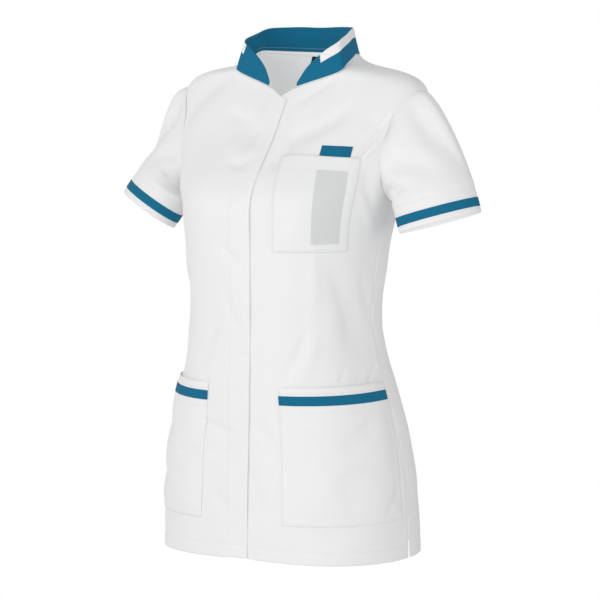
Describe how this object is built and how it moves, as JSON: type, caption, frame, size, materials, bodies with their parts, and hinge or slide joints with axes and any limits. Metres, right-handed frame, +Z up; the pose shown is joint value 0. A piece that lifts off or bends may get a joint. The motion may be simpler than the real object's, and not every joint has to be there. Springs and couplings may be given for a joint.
{
  "type": "medical tunic",
  "caption": "White short-sleeved medical tunic with a blue stand collar, concealed front, breast pocket, hip pockets and blue stripes, filled out as if worn.",
  "frame": {"origin": "centre of the neck opening, 4 mm below the neck ends of the shoulder seams", "axes": "+Z up along the standing wearer, -Y to the garment's front, +X to the garment's left side"},
  "size_m": [0.5703, 0.2988, 0.7505],
  "materials": {
    "white_cloth": "smooth matt twill",
    "blue_cloth": "smooth matt twill",
    "black_label": "plain woven tape"
  },
  "bodies": {
    "root": {"front_left": "white_cloth", "front_right": "white_cloth", "back": "white_cloth", "sleeve_left": "white_cloth", "sleeve_right": "white_cloth", "sleeve_stripe_left": "blue_cloth", "sleeve_stripe_right": "blue_cloth", "collar": "blue_cloth", "collar_strip": "white_cloth", "neck_tape": "white_cloth", "label": "black_label", "breast_pocket": "white_cloth", "inner_pocket": "blue_cloth", "hip_pocket_left": "white_cloth", "hip_pocket_right": "white_cloth", "hip_stripe_left": "blue_cloth", "hip_stripe_right": "blue_cloth"}
  },
  "joints": []
}
